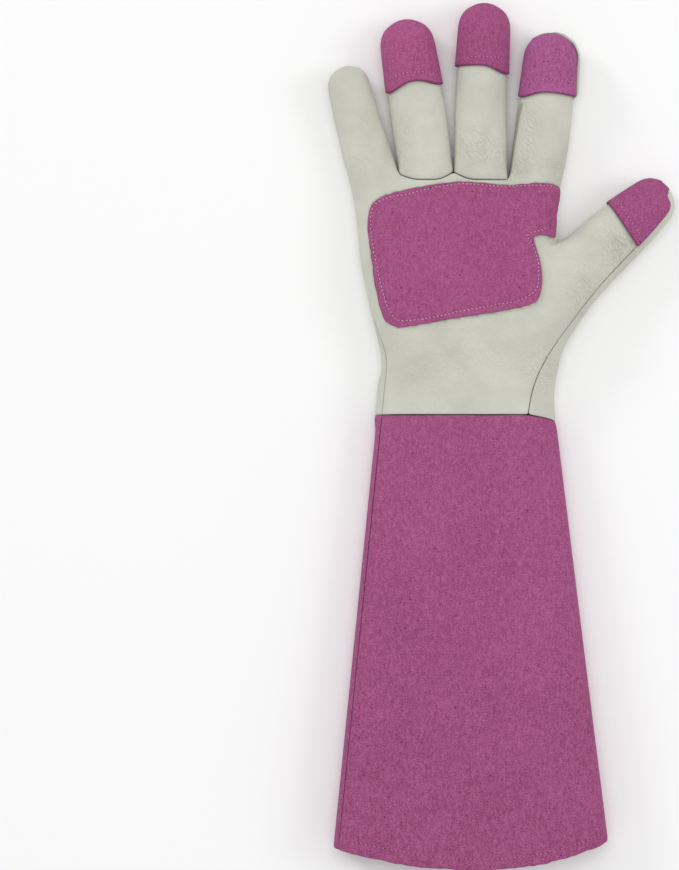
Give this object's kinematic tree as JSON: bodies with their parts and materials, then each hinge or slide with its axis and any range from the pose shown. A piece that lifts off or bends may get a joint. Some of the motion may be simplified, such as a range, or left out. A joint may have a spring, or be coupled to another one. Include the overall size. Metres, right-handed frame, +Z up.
{
  "type": "rose pruning gauntlet",
  "caption": "Right-hand rose pruning gauntlet lying palm up: grain leather hand with a gathered wrist, suede fingertips and palm patch, and a long flared suede cuff.",
  "frame": {"origin": "centre of the underside, on the surface that the glove lies on", "axes": "+Y towards the fingertips, +X towards the thumb, +Z up out of the palm"},
  "size_m": [0.1814, 0.451, 0.0276],
  "materials": {
    "grain_leather": "matte",
    "suede": "matte"
  },
  "bodies": {
    "root": {"palm_panel": "grain_leather", "ring_front": "grain_leather", "middle_front": "grain_leather", "back_panel": "grain_leather", "thumb_back": "grain_leather", "cuff_palm_panel": "suede", "cuff_back_panel": "suede", "ring_tip": "suede", "middle_tip": "suede", "index_tip": "suede", "thumb_tip": "suede", "palm_patch": "suede"}
  },
  "joints": []
}
